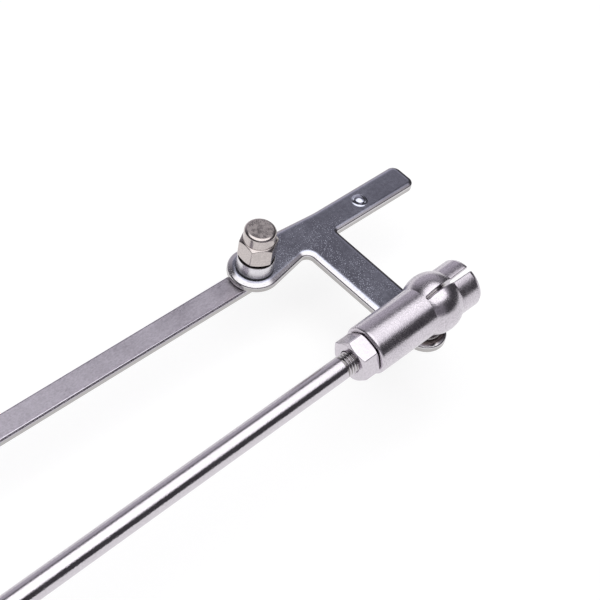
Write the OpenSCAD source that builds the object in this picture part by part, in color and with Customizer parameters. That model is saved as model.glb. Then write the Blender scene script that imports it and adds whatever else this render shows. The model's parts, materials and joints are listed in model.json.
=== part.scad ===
/* [Linkage] */
// Length of the flat bar between its two pivots
bar_length = 250; // [180:5:400]
// Distance from the lever's pivot to its ball, along the bar
ball_along = 21.6; // [18:0.1:30]
// Distance from the lever's pivot to its ball, across the bar
ball_across = 44.4; // [36:0.1:60]

/* [Flat bar] */
// Width of the flat bar
bar_w = 7.3; // [6.8:0.1:12]
// Thickness of the flat bar
bar_t = 2.9; // [2:0.1:5]

/* [Pivots] */
// Diameter of the two pivot studs
pivot_d = 4.83; // [4:0.01:5.2]
// Width across flats of the cap nuts
cap_nut_af = 9.53; // [9.2:0.01:12]
// Diameter of the round spacer under each cap nut
spacer_d = 10.3; // [9.6:0.1:11]
// Height of the spacer
spacer_h = 4.45; // [3:0.05:6]
// Height of the narrow step on top of the spacer
spacer_step_h = 0.35; // [0.2:0.05:0.8]
// Diameter of the narrow step on top of the spacer
spacer_step_d = 8.8; // [7:0.1:9.2]
// Height of the hexagon of each cap nut
cap_hex_h = 6.2; // [4.5:0.1:8]
// Diameter of the round cap on each cap nut
cap_d = 8.9; // [7.5:0.1:9]
// Height of the round cap above its hexagon
cap_h = 3.7; // [2.5:0.1:5]
// Radius of the cap's rounded rim
cap_rim_r = 1; // [0.3:0.1:1.5]
// Outside diameter of the pivot washers
washer_d = 10.5; // [8:0.1:14]
// Thickness of the thin washer under each arm
washer_t = 0.2; // [0.1:0.05:1]
// Thickness of the washer under each spacer
top_washer_t = 0.4; // [0.2:0.05:1]

/* [Lever plate] */
// Thickness of the lever plate
lever_t = 2.5; // [2:0.1:5]
// Diameter of the round boss at the pivot
boss_d = 15; // [12:0.1:20]
// Width of the tongue that carries the pip
tongue_w = 8.9; // [7:0.1:12]
// Sideways offset of the tongue's middle from the pivot
tongue_offset = 0.69; // [0:0.01:1.5]
// Distance from the pivot to the tongue's end
tongue_reach = 59.3; // [50:0.1:90]
// Radius of the tongue's two end corners
tongue_corner_r = 2.4; // [0.5:0.1:3]
// Distance from the pivot to the raised pip on the tongue
pip_x = 40.9; // [36:0.1:48]
// Diameter of the pip's dome
pip_d = 3.5; // [2:0.1:5]
// Height of the pip above the tongue
pip_h = 1.15; // [0.6:0.05:2]
// Diameter of the pip's sloping foot
pip_foot_d = 5; // [4:0.1:7]
// Height of the pip's sloping foot
pip_foot_h = 0.35; // [0.1:0.05:0.5]
// Width of the side arm that carries the ball
arm_w = 12; // [10:0.1:16]
// Distance past the pivot at which the neck has narrowed to the tongue
neck_top_x = 26.9; // [22:0.1:32]
// Depth of the neck's lower edge where it meets the arm
neck_root_y = 4.6; // [3.8:0.1:6]
// Fillet between the neck and the arm
neck_fillet_r = 2.1; // [0.5:0.1:5]
// Fillet between the tongue and the arm
tongue_fillet_r = 0.8; // [0.3:0.1:3]

/* [Ball studs] */
// Diameter of the ball
ball_d = 12; // [10:0.1:12.6]
// Height of the ball's centre above the plate that carries it
ball_height = 10.8; // [10.2:0.1:14]
// Diameter of the neck under the ball
neck_d = 6; // [4.5:0.1:6.5]
// Diameter of the collar that seats on the plate
collar_d = 8.6; // [8:0.1:11.5]
// Height of the collar
collar_h = 1.2; // [0.8:0.1:2]
// Diameter of the tail riveted into the plate
tail_d = 6; // [4:0.1:8]

/* [Sockets] */
// Diameter of the socket's body and of its split end
socket_d = 14; // [13.6:0.1:16]
// Diameter of the round bulge around the ball
bulge_d = 17; // [16.4:0.1:18.4]
// Distance from the ball's centre to the face at the lock nut
socket_reach = 24.9; // [20:0.1:32]
// Distance from the ball's centre to the split end
split_reach = 11.7; // [10:0.1:15]
// Bore of the split end, a little under the ball's diameter
split_bore_d = 11.2; // [9:0.1:11.6]
// Width of the saw cut where it starts, on top of the bulge
saw_cut_root_w = 0.8; // [0.4:0.1:1.5]
// Width of the saw cut at the split end, which is sprung open a little
saw_cut_end_w = 1.5; // [0.8:0.1:2.5]
// Length of the saw cut past the ball's centre
saw_cut_past = 4.8; // [3:0.1:8]
// Angle by which the saw cut leans from upright, about the rod
saw_cut_turn = 11; // [0:1:20]
// Room around the neck in the slot under the ball
neck_room = 1; // [0.9:0.1:1.5]
// Length of the plastic seat behind the ball
seat_length = 4; // [2.5:0.1:8]

/* [Tie rod] */
// Diameter of the tie rod and of its threaded ends
rod_d = 6.35; // [5:0.01:8]
// Width across flats of the lock nuts
lock_nut_af = 11.11; // [10:0.01:13]
// Height of the lock nuts
lock_nut_h = 5.56; // [3.5:0.01:7]

/* [Frame bracket] */
// Thickness of the bracket plate
bracket_t = 3; // [2:0.1:6]
// Width of the bracket plate
bracket_w = 24; // [18:0.5:40]
// Distance from each pivot out to the screw hole beside it
screw_offset = 17; // [14:0.5:30]
// Diameter of the screw holes
screw_d = 4.8; // [3:0.1:6]
// Diameter of the countersink at the bracket's top
screw_head_d = 9.6; // [6.5:0.1:11]
// Diameter of the post that carries the bar
post_d = 12; // [10:0.1:16]
// Height of the post
post_h = 12.15; // [9:0.05:20]

/* [Fits] */
// Radial clearance of the bores that turn on the pivot studs
pivot_clearance = 0.08; // [0.02:0.01:0.1]
// Radial clearance of fixed pieces in their seats
seat_clearance = 0.02; // [0.01:0.01:0.05]
// Gap around the ball inside its socket
ball_clearance = 0.3; // [0.2:0.05:0.4]
// Gap between the ball and its plastic seat
seat_gap = 0.1; // [0.05:0.05:0.2]
// Gap between flat faces that turn on each other
running_gap = 0.05; // [0.02:0.01:0.15]

/* [Hidden] */
$fn = 64;
// Small overlap that takes cuts clear of the faces they go through
eps = 0.5;
// Slope of the chamfer on the corners of the lock nuts and of the cap nuts
lock_chamfer = 30;
cap_chamfer = 38;
// Share of the width across flats that a chamfered face keeps
chamfer_face = 0.96;
// Length of stud that enters the cap nut, and room left above it
stud_in_cap = cap_hex_h;
cap_room = 1;

pivot_spacing = sqrt(ball_along * ball_along + ball_across * ball_across);
rest_angle = atan2(ball_across, ball_along);
pivot_bore_d = pivot_d + 2 * pivot_clearance;

post_top = bracket_t + post_h;
bar_z = post_top + washer_t + running_gap;
bar_top = bar_z + bar_t;
lever_z = bar_top + washer_t + running_gap;
lever_top = lever_z + lever_t;
// Height from an arm's top to the cap nut
cap_seat = running_gap + top_washer_t + spacer_h;

// The rod rises from the bracket's ball to the lever's ball
frame_ball_z = bracket_t + ball_height;
lever_ball_z = lever_top + ball_height;
rod_rise = lever_ball_z - frame_ball_z;
rod_tilt = atan2(rod_rise, bar_length);
ball_to_ball = sqrt(bar_length * bar_length + rod_rise * rod_rise);
// Distance from a ball's centre back to the seat's far end and the rod's tip
rod_tip = ball_d / 2 + seat_length;

screw_x = pivot_spacing / 2 + screw_offset;

// Angles by which the nuts are turned: on the lever from the bar's direction, on the rod from upright
lever_cap_turn = 28;
lever_lock_turn = 13.6;
frame_lock_turn = 21;

// Places: the bar's own axes start at the bracket's post and run along the bar
module at_bar() {
    translate([-pivot_spacing / 2, 0, 0])
        rotate([0, 0, rest_angle])
            children();
}

module at_lever() {
    at_bar()
        translate([bar_length, 0, 0])
            children();
}

// The rod's axes start at the bracket's ball and run up along the rod
module at_rod() {
    translate([pivot_spacing / 2, 0, frame_ball_z])
        rotate([0, -rod_tilt, rest_angle])
            children();
}

// The two ends of the rod, each with its ball at the origin and the rod along -X
module at_lever_end() {
    at_rod()
        translate([ball_to_ball, 0, 0])
            children();
}

module at_frame_end() {
    at_rod()
        rotate([0, 0, 180])
            children();
}

// Hexagon standing on z = 0 with chamfered corners at both ends
module hexagon(across, height, chamfer) {
    corner_r = across / sqrt(3);
    face_r = chamfer_face * across / 2;
    drop = (corner_r - face_r) * tan(chamfer);
    intersection() {
        cylinder(h = height, r = corner_r, $fn = 6);
        rotate_extrude()
            polygon([
                [0, 0], [face_r, 0], [corner_r, drop],
                [corner_r, height - drop], [face_r, height], [0, height]
            ]);
    }
}

// Round spacer with a narrow step on top
module spacer() {
    difference() {
        union() {
            cylinder(h = spacer_h - spacer_step_h, d = spacer_d);
            cylinder(h = spacer_h, d = spacer_step_d);
        }
        translate([0, 0, -eps])
            cylinder(h = spacer_h + 2 * eps, d = pivot_d + 2 * seat_clearance);
    }
}

// Hexagon with a flat-topped round cap and a blind hole from below
module cap_nut() {
    cap_top = cap_hex_h + cap_h;
    difference() {
        union() {
            hexagon(cap_nut_af, cap_hex_h, cap_chamfer);
            rotate_extrude() {
                square([cap_d / 2, cap_top - cap_rim_r]);
                square([cap_d / 2 - cap_rim_r, cap_top]);
                translate([cap_d / 2 - cap_rim_r, cap_top - cap_rim_r])
                    circle(r = cap_rim_r);
            }
        }
        translate([0, 0, -eps])
            cylinder(h = eps + stud_in_cap + cap_room, d = pivot_d + 2 * seat_clearance);
    }
}

module washer(thickness) {
    difference() {
        cylinder(h = thickness, d = washer_d);
        translate([0, 0, -eps])
            cylinder(h = thickness + 2 * eps, d = pivot_bore_d);
    }
}

// Ball on a necked stud: z = 0 is the plate's top, the riveted tail goes down through the plate
module ball_stud(plate_t) {
    translate([0, 0, ball_height])
        sphere(d = ball_d);
    cylinder(h = ball_height, d = neck_d);
    cylinder(h = collar_h, d = collar_d);
    translate([0, 0, -plate_t])
        cylinder(h = plate_t, d = tail_d);
}

// Turned socket along -X from its ball, with a split end along +X
module socket() {
    slot_w = neck_d + 2 * neck_room;
    difference() {
        union() {
            translate([-socket_reach, 0, 0])
                rotate([0, 90, 0])
                    cylinder(h = socket_reach + split_reach, d = socket_d);
            sphere(d = bulge_d);
        }
        sphere(d = ball_d + 2 * ball_clearance);
        rotate([0, 90, 0])
            cylinder(h = split_reach + eps, d = split_bore_d);
        translate([-socket_reach - eps, 0, 0])
            rotate([0, 90, 0])
                cylinder(h = socket_reach + eps, d = rod_d + 2 * seat_clearance);
        // Saw cut on top
        rotate([saw_cut_turn, 0, 0])
            linear_extrude(height = bulge_d)
                polygon([
                    [-saw_cut_past, -saw_cut_root_w / 2], [split_reach + eps, -saw_cut_end_w / 2],
                    [split_reach + eps, saw_cut_end_w / 2], [-saw_cut_past, saw_cut_root_w / 2]
                ]);
        // Slot below, through which the neck slides in from the split end
        translate([0, -slot_w / 2, -bulge_d])
            cube([split_reach + eps, slot_w, bulge_d]);
        translate([0, 0, -bulge_d])
            cylinder(h = bulge_d, d = slot_w);
    }
}

// Plastic plug between the rod's tip and the ball, hollowed to the ball
module ball_seat() {
    difference() {
        translate([-rod_tip, 0, 0])
            rotate([0, 90, 0])
                cylinder(h = seat_length + ball_d / 4, d = rod_d);
        sphere(d = ball_d + 2 * seat_gap);
    }
}

// Nut on the rod against the socket's rear face, with a corner that leans by turn from upright
module lock_nut(turn) {
    translate([-socket_reach, 0, 0])
        rotate([-turn, 0, 0])
            rotate([0, -90, 0])
                difference() {
                    hexagon(lock_nut_af, lock_nut_h, lock_chamfer);
                    translate([0, 0, -eps])
                        cylinder(h = lock_nut_h + 2 * eps, d = rod_d + 2 * seat_clearance);
                }
}

module frame_bracket() {
    color("silver")
        difference() {
            linear_extrude(height = bracket_t) {
                square([2 * screw_x, bracket_w], center = true);
                for (side = [-1, 1])
                    translate([side * screw_x, 0])
                        circle(d = bracket_w);
            }
            for (side = [-1, 1]) {
                translate([side * screw_x, 0, -eps])
                    cylinder(h = bracket_t + 2 * eps, d = screw_d);
                // Countersink at 90 degrees
                translate([side * screw_x, 0, bracket_t - (screw_head_d - screw_d) / 2])
                    cylinder(h = (screw_head_d - screw_d) / 2, d1 = screw_d, d2 = screw_head_d);
                translate([side * pivot_spacing / 2, 0, -eps])
                    cylinder(h = bracket_t + 2 * eps, d = tail_d + 2 * seat_clearance);
            }
        }
}

// Post riveted into the bracket, with the stud on which the bar turns
module bar_post() {
    color("gainsboro")
        at_bar() {
            cylinder(h = bracket_t, d = tail_d);
            translate([0, 0, bracket_t])
                cylinder(h = post_h, d = post_d);
            translate([0, 0, post_top])
                cylinder(h = bar_top + cap_seat + stud_in_cap - post_top, d = pivot_d);
        }
}

module post_washer() {
    color("dimgray")
        at_bar()
            translate([0, 0, post_top])
                washer(washer_t);
}

module post_top_washer() {
    color("dimgray")
        at_bar()
            translate([0, 0, bar_top + running_gap])
                washer(top_washer_t);
}

module post_spacer() {
    color("gainsboro")
        at_bar()
            translate([0, 0, bar_top + running_gap + top_washer_t])
                spacer();
}

module post_cap_nut() {
    color("lightgray")
        at_bar()
            translate([0, 0, bar_top + cap_seat])
                cap_nut();
}

module frame_ball_stud() {
    color("gainsboro")
        translate([pivot_spacing / 2, 0, bracket_t])
            ball_stud(bracket_t);
}

module flat_bar() {
    color("darkgray")
        at_bar()
            translate([0, 0, bar_z])
                linear_extrude(height = bar_t)
                    difference() {
                        union() {
                            translate([0, -bar_w / 2])
                                square([bar_length, bar_w]);
                            circle(d = bar_w);
                            translate([bar_length, 0])
                                circle(d = bar_w);
                        }
                        circle(d = pivot_bore_d);
                        translate([bar_length, 0])
                            circle(d = pivot_d + 2 * seat_clearance);
                    }
}

// Stud riveted into the bar, on which the lever turns
module lever_stud() {
    color("gainsboro")
        at_lever()
            translate([0, 0, bar_z])
                cylinder(h = lever_top + cap_seat + stud_in_cap - bar_z, d = pivot_d);
}

module lever_washer() {
    color("dimgray")
        at_lever()
            translate([0, 0, bar_top])
                washer(washer_t);
}

module lever_top_washer() {
    color("dimgray")
        at_lever()
            translate([0, 0, lever_top + running_gap])
                washer(top_washer_t);
}

module lever_spacer() {
    color("gainsboro")
        at_lever()
            translate([0, 0, lever_top + running_gap + top_washer_t])
                spacer();
}

module lever_cap_nut() {
    color("lightgray")
        at_lever()
            translate([0, 0, lever_top + cap_seat])
                rotate([0, 0, lever_cap_turn])
                    cap_nut();
}

// Outline of the lever: boss at the origin, tongue along +X, arm along -Y
module lever_outline() {
    boss_r = boss_d / 2;
    tongue_top = tongue_offset + tongue_w / 2;
    tongue_low = tongue_offset - tongue_w / 2;
    arm_left = ball_along - arm_w / 2;
    arm_right = ball_along + arm_w / 2;
    // Points where the neck's edges leave the boss as tangents
    top_turn = atan2(tongue_top, neck_top_x) + acos(boss_r / norm([neck_top_x, tongue_top]));
    low_turn = atan2(-neck_root_y, arm_left) - acos(boss_r / norm([arm_left, neck_root_y]));
    low_touch = boss_r * [cos(low_turn), sin(low_turn)];
    // Fillet circle under the neck, touching the neck's lower edge and the arm's left edge
    low_slope = atan2(-neck_root_y - low_touch.y, arm_left - low_touch.x);
    fillet_at = [
        arm_left - neck_fillet_r,
        -neck_root_y - neck_fillet_r * (tan(low_slope) + 1 / cos(low_slope))
    ];

    difference() {
        union() {
            circle(r = boss_r);
            // Neck, with the corner that the fillet under it fills
            polygon([
                [0, 0], low_touch, fillet_at + neck_fillet_r * [-sin(low_slope), cos(low_slope)],
                fillet_at, [arm_left, fillet_at.y], [arm_right, fillet_at.y],
                [arm_right, tongue_top], [neck_top_x, tongue_top], boss_r * [cos(top_turn), sin(top_turn)]
            ]);
            // Tongue with two rounded corners
            translate([ball_along, tongue_low])
                square([tongue_reach - tongue_corner_r - ball_along, tongue_w]);
            translate([ball_along, tongue_low + tongue_corner_r])
                square([tongue_reach - ball_along, tongue_w - 2 * tongue_corner_r]);
            for (y = [tongue_low + tongue_corner_r, tongue_top - tongue_corner_r])
                translate([tongue_reach - tongue_corner_r, y])
                    circle(r = tongue_corner_r);
            // Corner that the fillet under the tongue fills
            translate([ball_along, tongue_low - tongue_fillet_r])
                square([arm_right + tongue_fillet_r - ball_along, 2 * tongue_fillet_r]);
            // Arm with a round end about the ball
            translate([arm_left, -ball_across])
                square([arm_w, ball_across - neck_root_y]);
            translate([ball_along, -ball_across])
                circle(d = arm_w);
        }
        translate(fillet_at)
            circle(r = neck_fillet_r);
        translate([arm_right + tongue_fillet_r, tongue_low - tongue_fillet_r])
            circle(r = tongue_fillet_r);
    }
}

// Round pip with a sloping foot and a domed top
module pip() {
    dome_h = pip_h - pip_foot_h;
    dome_r = (pow(pip_d / 2, 2) + pow(dome_h, 2)) / (2 * dome_h);
    cylinder(h = pip_foot_h, d1 = pip_foot_d, d2 = pip_d);
    translate([0, 0, pip_foot_h])
        intersection() {
            translate([0, 0, dome_h - dome_r])
                sphere(r = dome_r);
            cylinder(h = pip_h, d = pip_d);
        }
}

module lever_plate() {
    color("slategray")
        at_lever()
            translate([0, 0, lever_z])
                union() {
                    linear_extrude(height = lever_t)
                        difference() {
                            lever_outline();
                            circle(d = pivot_bore_d);
                            translate([ball_along, -ball_across])
                                circle(d = tail_d + 2 * seat_clearance);
                        }
                    translate([pip_x, tongue_offset, lever_t])
                        pip();
                }
}

module lever_ball_stud() {
    color("gainsboro")
        at_lever()
            translate([ball_along, -ball_across, lever_top])
                ball_stud(lever_t);
}

module tie_rod() {
    color("lightgray")
        at_rod()
            translate([rod_tip, 0, 0])
                rotate([0, 90, 0])
                    cylinder(h = ball_to_ball - 2 * rod_tip, d = rod_d);
}

module lever_socket() {
    color("silver")
        at_lever_end()
            socket();
}

module lever_ball_seat() {
    color("ivory")
        at_lever_end()
            ball_seat();
}

module lever_lock_nut() {
    color("lightgray")
        at_lever_end()
            lock_nut(lever_lock_turn);
}

module frame_socket() {
    color("silver")
        at_frame_end()
            socket();
}

module frame_ball_seat() {
    color("ivory")
        at_frame_end()
            ball_seat();
}

module frame_lock_nut() {
    color("lightgray")
        at_frame_end()
            lock_nut(frame_lock_turn);
}

frame_bracket();
bar_post();
post_washer();
post_top_washer();
post_spacer();
post_cap_nut();
frame_ball_stud();
flat_bar();
lever_stud();
lever_washer();
lever_top_washer();
lever_spacer();
lever_cap_nut();
lever_plate();
lever_ball_stud();
tie_rod();
lever_socket();
lever_ball_seat();
lever_lock_nut();
frame_socket();
frame_ball_seat();
frame_lock_nut();
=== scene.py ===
"""Finished look of a parallel-arm window stay, built around its fixed frame.

The frame gives every place and most sizes. Each piece is a surface worked out in its own axes: x along the piece
and z along its turning axis for plates, nuts and studs, x along the rod for the rod and its sockets.
"""

import functools
import json
import math

import bmesh
import bpy
import numpy as np
from mathutils import Matrix, Vector
from mathutils.geometry import delaunay_2d_cdt


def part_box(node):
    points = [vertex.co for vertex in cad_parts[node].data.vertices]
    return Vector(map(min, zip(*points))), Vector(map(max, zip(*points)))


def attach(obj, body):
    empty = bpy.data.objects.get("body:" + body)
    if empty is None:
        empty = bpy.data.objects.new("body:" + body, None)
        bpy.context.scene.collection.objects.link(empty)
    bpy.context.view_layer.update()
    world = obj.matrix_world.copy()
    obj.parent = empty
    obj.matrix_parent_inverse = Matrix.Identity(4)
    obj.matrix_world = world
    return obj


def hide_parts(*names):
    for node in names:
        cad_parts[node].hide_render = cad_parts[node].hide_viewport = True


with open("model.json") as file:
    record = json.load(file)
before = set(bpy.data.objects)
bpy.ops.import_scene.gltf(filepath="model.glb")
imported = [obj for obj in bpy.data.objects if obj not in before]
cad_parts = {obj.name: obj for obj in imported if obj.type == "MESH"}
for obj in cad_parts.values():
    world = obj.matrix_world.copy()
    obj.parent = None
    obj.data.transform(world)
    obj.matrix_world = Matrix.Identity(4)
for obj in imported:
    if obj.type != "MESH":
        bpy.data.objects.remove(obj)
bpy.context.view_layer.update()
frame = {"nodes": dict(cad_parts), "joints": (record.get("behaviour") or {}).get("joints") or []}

bl_info = {
    "name": "Parallel-arm window stay",
    "version": (1, 0, 0),
    "blender": (4, 5, 0),
    "location": "View3D > Sidebar > Stay",
    "description": "Builds the finished pieces of a parallel-arm window stay around its frame",
    "category": "Object",
}

MM = 0.001
# Points closer than this are one point
WELD = 1.5e-6
# Width of the flat strip that ends every eased edge
LIP = 0.05 * MM
# Points round a full turn of a turned piece, of a hole and of the rod, and along one side of a hexagon
ROUND, HOLE_ROUND, ROD_ROUND, HEX_SIDE = 96, 64, 72, 22
# Directions of a hexagon's faces, and the power that eases its corners: the higher, the sharper
HEX_FACES = np.radians(30 + 60 * np.arange(6))
HEX_POWER = 70.0
# Range that noise mostly keeps to
NOISE_RANGE = 0.3, 0.7
# Gaps round what goes through a hole: pressed or screwed in, in the bar's bores, and turning freely
PRESS_FIT, BORE_FIT, RUNNING_FIT = 0.02 * MM, 0.05 * MM, 0.08 * MM


# Places of the pieces

def place(origin, along):
    """4 by 4 matrix of axes at origin, with x along the given direction, y level and z near upright."""
    x = np.asarray(along, float) / np.linalg.norm(along)
    y = np.cross((0.0, 0.0, 1.0), x)
    y /= np.linalg.norm(y)
    matrix = np.eye(4)
    matrix[:3] = np.stack([x, y, np.cross(x, y), origin], 1)
    return matrix


def shift(x=0.0, y=0.0, z=0.0):
    """4 by 4 matrix of a move."""
    matrix = np.eye(4)
    matrix[:3, 3] = x, y, z
    return matrix


def spin(axis, angle):
    """4 by 4 matrix of a turn about the axis "X", "Y" or "Z"."""
    return np.array(Matrix.Rotation(angle, 4, axis))


def own_box(node, axes):
    """Lowest and highest corner of a node's solid in the given axes."""
    mesh = frame["nodes"][node].data
    points = np.empty(3 * len(mesh.vertices), np.float32)
    mesh.vertices.foreach_get("co", points)
    turned_back = np.linalg.inv(axes)
    own = points.reshape(-1, 3) @ turned_back[:3, :3].T + turned_back[:3, 3]
    return own.min(0), own.max(0)


JOINTS = {joint["name"]: np.array(joint["pos_m"]) for joint in frame["joints"]}
LEVEL = np.array([1.0, 1.0, 0.0])
BAR_START = JOINTS["bar_swing"] * LEVEL
LEVER_PIVOT = JOINTS["lever_turn"] * LEVEL
FRAME_BALL = JOINTS["rod_swing"]
BALL_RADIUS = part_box("frame_ball_stud")[1].z - FRAME_BALL[2]
LEVER_BALL = LEVER_PIVOT + (FRAME_BALL - BAR_START) * LEVEL
LEVER_BALL[2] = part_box("lever_ball_stud")[1].z - BALL_RADIUS

BAR = place(BAR_START, LEVER_PIVOT - BAR_START)
LEVER = place(LEVER_PIVOT, LEVER_PIVOT - BAR_START)
LEVER_END = place(LEVER_BALL, LEVER_BALL - FRAME_BALL)
FRAME_END = place(FRAME_BALL, FRAME_BALL - LEVER_BALL)
ROD_ENDS = (("lever", LEVER_END), ("frame", FRAME_END))
BALL_TO_BALL = np.linalg.norm(LEVER_BALL - FRAME_BALL)
# The lever's ball in the lever's own axes
BALL_AT = (np.linalg.inv(LEVER) @ np.append(LEVER_BALL, 1.0))[:3]
BAR_TURN = math.atan2(BAR[1, 0], BAR[0, 0])


# Settings

def length(name, about, size):
    """Length setting with its default in millimetres."""
    return bpy.props.FloatProperty(name=name, description=about, default=size * MM, min=0.0, precision=5, unit="LENGTH")


def angle(name, about, degrees):
    """Angle setting with its default in degrees."""
    return bpy.props.FloatProperty(name=name, description=about, default=math.radians(degrees), unit="ROTATION")


def share(name, about, value):
    """Setting between 0 and 1."""
    return bpy.props.FloatProperty(name=name, description=about, default=value, min=0.0, max=1.0, subtype="FACTOR")


def strength(name, about, value):
    """Brightness setting, where 1 is white."""
    return bpy.props.FloatProperty(name=name, description=about, default=value, min=0.0, max=4.0)


def colour(name, about, *rgb):
    """Colour setting."""
    return bpy.props.FloatVectorProperty(name=name, description=about, default=rgb, size=3, min=0.0, max=1.0,
                                         subtype="COLOR")


def lever_top(sizes):
    """Height of the lever's flat top, below its pip."""
    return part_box("lever_plate")[1].z - sizes.pip_h


class StayPlates(bpy.types.PropertyGroup):
    """Sizes of the flat bar, the lever plate and the bracket."""

    bar_edge: length("Bar edge", "Width of the chamfer on the flat bar's edges", 0.45)
    bar_depth: length("Bar edge depth", "Depth of the chamfer on the flat bar's edges", 0.75)
    lever_roll: length("Lever roll", "Width of the rolled edge on top of the lever", 2.7)
    lever_slope: angle("Lever slope", "Slope of the rolled edge on top of the lever", 21.0)
    arm_roll: share("Arm roll", "Width of the rolled edge on the arm, as a share of the boss's", 0.8)
    tongue_roll: share("Tongue roll", "Width of the rolled edge on the tongue, as a share of the boss's", 0.62)
    lever_under: length("Lever under edge", "Radius of the lever's lower edge", 0.5)
    tongue_w: length("Tongue width", "Width of the tongue", 8.9)
    tongue_offset: length("Tongue offset", "Sideways offset of the tongue's middle from the pivot", 0.69)
    tongue_corner: length("Tongue corner", "Radius of the tongue's end corners", 2.4)
    pip_x: length("Pip place", "Distance from the pivot to the raised pip on the tongue", 40.9)
    pip_d: length("Pip", "Diameter of the pip's dome", 3.5)
    pip_foot_d: length("Pip foot", "Diameter of the pip's foot", 5.0)
    pip_h: length("Pip height", "Height of the pip above the tongue", 1.15)
    neck_top_x: length("Neck end", "Distance past the pivot where the neck has narrowed to the tongue", 26.9)
    neck_root_y: length("Neck depth", "Depth of the neck's lower edge at the arm", 4.6)
    neck_fillet: length("Neck fillet", "Fillet between the neck and the arm", 2.1)
    tongue_fillet: length("Tongue fillet", "Fillet between the tongue and the arm", 0.8)
    neck_bend: length("Neck bend", "Radius of the bend where the neck meets the tongue", 20.0)
    bracket_edge: length("Bracket edge", "Radius of the bracket's edges", 0.5)
    bracket_slope: angle("Bracket slope", "Slope of the bracket's rolled upper edge", 30.0)
    screw_d: length("Screw hole", "Diameter of the bracket's screw holes", 4.8)
    screw_head_d: length("Countersink", "Diameter of the bracket's countersinks", 9.6)
    rivet_d: length("Rivet hole", "Diameter of the holes that the studs are riveted into", 6.0)


class StayNuts(bpy.types.PropertyGroup):
    """Sizes of the nuts, spacers and studs."""

    pivot_d: length("Pivot", "Diameter of the pivot studs", 4.83)
    cap_across: length("Cap nut", "Width across flats of the cap nuts", 9.53)
    cap_chamfer: angle("Cap nut chamfer", "Slope of the chamfer on a cap nut's corners", 38.0)
    cap_d: length("Cap", "Diameter of the round cap", 8.9)
    cap_rim: length("Cap rim", "Radius of the cap's rim", 1.0)
    cap_height: length("Cap height", "Height of the round cap above its hexagon", 3.7)
    lever_cap_turn: angle("Cap nut turn", "Turn of the lever's cap nut", 28.0)
    spacer_step_d: length("Spacer step", "Diameter of the narrow step on top of a spacer", 8.8)
    spacer_step_h: length("Spacer step height", "Height of the narrow step on top of a spacer", 0.35)
    spacer_edge: length("Spacer edge", "Chamfer of a spacer's upper edge", 0.22)
    lock_across: length("Lock nut", "Width across flats of the lock nuts", 11.11)
    lock_chamfer: angle("Lock nut chamfer", "Slope of the chamfer on a lock nut's corners", 30.0)
    lever_lock_turn: angle("Lever lock nut turn", "Lean of the lock nut's corner at the lever", 13.6)
    frame_lock_turn: angle("Frame lock nut turn", "Lean of the lock nut's corner at the frame", 21.0)
    nut_edge: length("Nut edge", "Ease of the nuts' edges", 0.12)
    face_share: share("Face share", "Share of the width across flats that a chamfered face keeps", 0.96)
    neck_d: length("Neck", "Diameter of the neck under a ball", 6.0)
    collar_d: length("Collar", "Diameter of a ball stud's collar", 8.6)
    collar_h: length("Collar height", "Height of a ball stud's collar", 1.2)


class StayRod(bpy.types.PropertyGroup):
    """Sizes of the tie rod and its sockets."""

    rod_d: length("Rod", "Diameter of the tie rod", 6.35)
    thread_pitch: length("Thread pitch", "Pitch of the thread on the rod's ends", 0.907)
    thread_depth: length("Thread depth", "Depth of the thread", 0.5)
    thread_shows: length("Thread shown", "Length of thread that shows beside a lock nut", 2.7)
    socket_d: length("Socket", "Diameter of the socket's body", 14.0)
    bulge_d: length("Bulge", "Diameter of the bulge round the ball", 17.0)
    split_bore_d: length("Split bore", "Bore of the socket's split end", 11.2)
    cavity_gap: length("Ball gap", "Gap round the ball in its socket", 0.3)
    saw_turn: angle("Saw cut turn", "Angle by which the saw cut leans from upright", 11.0)
    saw_past: length("Saw cut length", "Length of the saw cut past the ball's centre", 4.8)
    saw_root: length("Saw cut start", "Width of the saw cut where it starts", 0.8)
    saw_end: length("Saw cut end", "Width of the saw cut at the split end", 1.5)
    neck_room: length("Neck room", "Room round the stud's neck in the slot below", 1.0)
    socket_edge: length("Socket edge", "Ease of the socket's split end", 0.6)
    bevel_run: length("Bevel run", "Length along the axis of the bevel on the split end", 0.95)
    bevel_fall: length("Bevel fall", "Fall of the bevel on the split end", 0.45)
    socket_rear: length("Socket rear edge", "Ease of the socket's edge at the lock nut", 0.8)


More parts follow.
